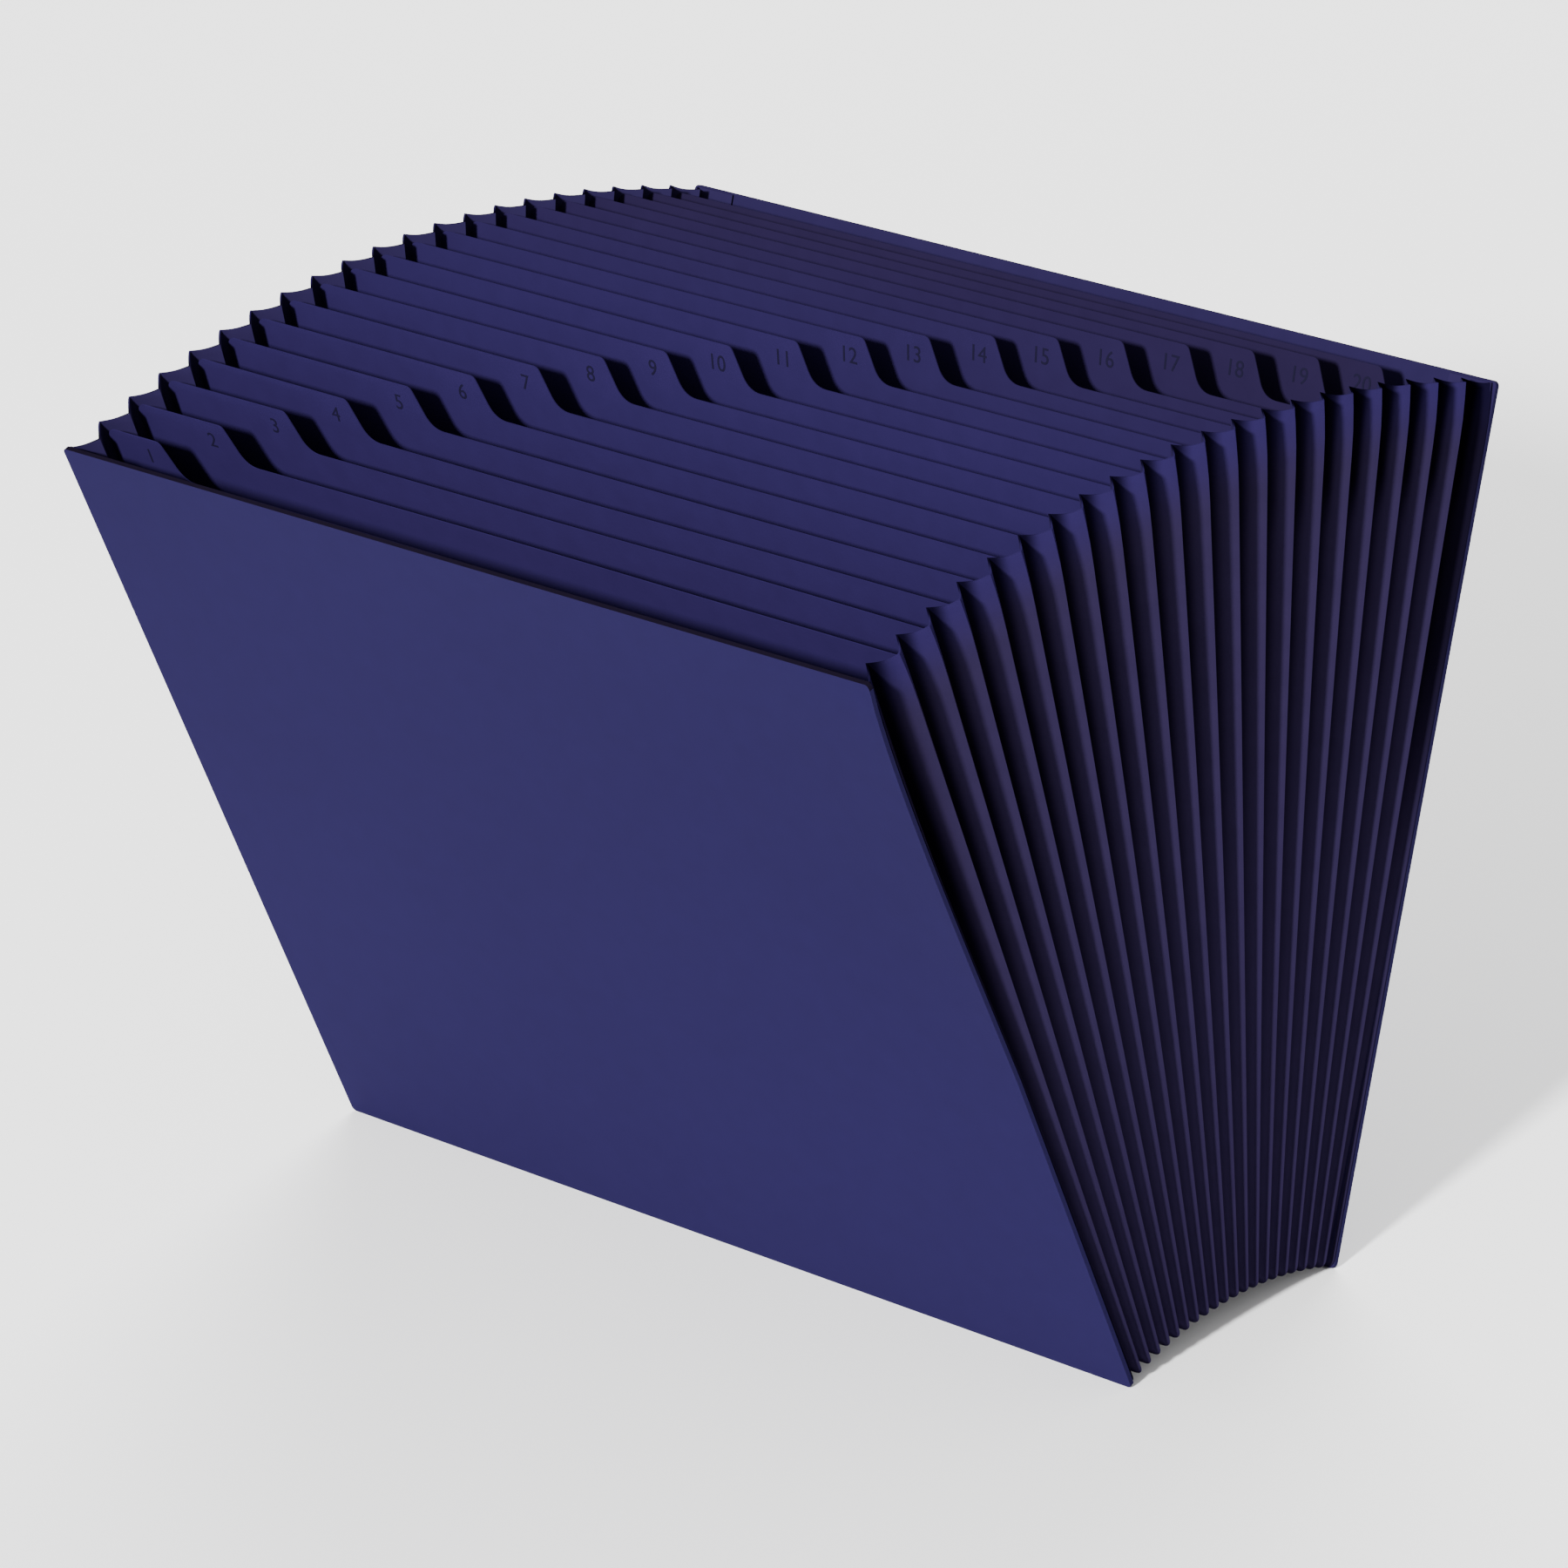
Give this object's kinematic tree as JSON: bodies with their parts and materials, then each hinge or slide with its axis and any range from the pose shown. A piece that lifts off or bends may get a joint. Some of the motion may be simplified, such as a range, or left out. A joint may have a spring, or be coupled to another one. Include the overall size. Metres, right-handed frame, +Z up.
{
  "type": "expanding file folder",
  "caption": "Expanding file folder standing fanned open, with stiff covers, stepped index dividers and a pleated gusset that closes its pockets at the sides and bottom.",
  "frame": {"origin": "on the surface the folder stands on, midway between the two covers and midway along the width", "axes": "+X along the width, towards the end where the last index tab is; -Y is the front cover's side; +Z up, out of the pockets' mouths"},
  "size_m": [0.305, 0.2598, 0.2614],
  "materials": {
    "cover_board": "matte",
    "gusset_paper": "matte",
    "divider_paper": "matte"
  },
  "bodies": {
    "root": {"front_cover": "cover_board", "gusset": "gusset_paper", "divider_01": "divider_paper", "divider_02": "divider_paper", "divider_03": "divider_paper", "divider_04": "divider_paper", "divider_05": "divider_paper", "divider_06": "divider_paper", "divider_07": "divider_paper", "divider_08": "divider_paper", "divider_09": "divider_paper", "divider_10": "divider_paper", "divider_11": "divider_paper", "divider_12": "divider_paper", "divider_13": "divider_paper", "divider_14": "divider_paper", "divider_15": "divider_paper", "divider_16": "divider_paper", "divider_17": "divider_paper", "divider_18": "divider_paper", "divider_19": "divider_paper", "divider_20": "divider_paper", "back_cover": "cover_board"}
  },
  "joints": []
}
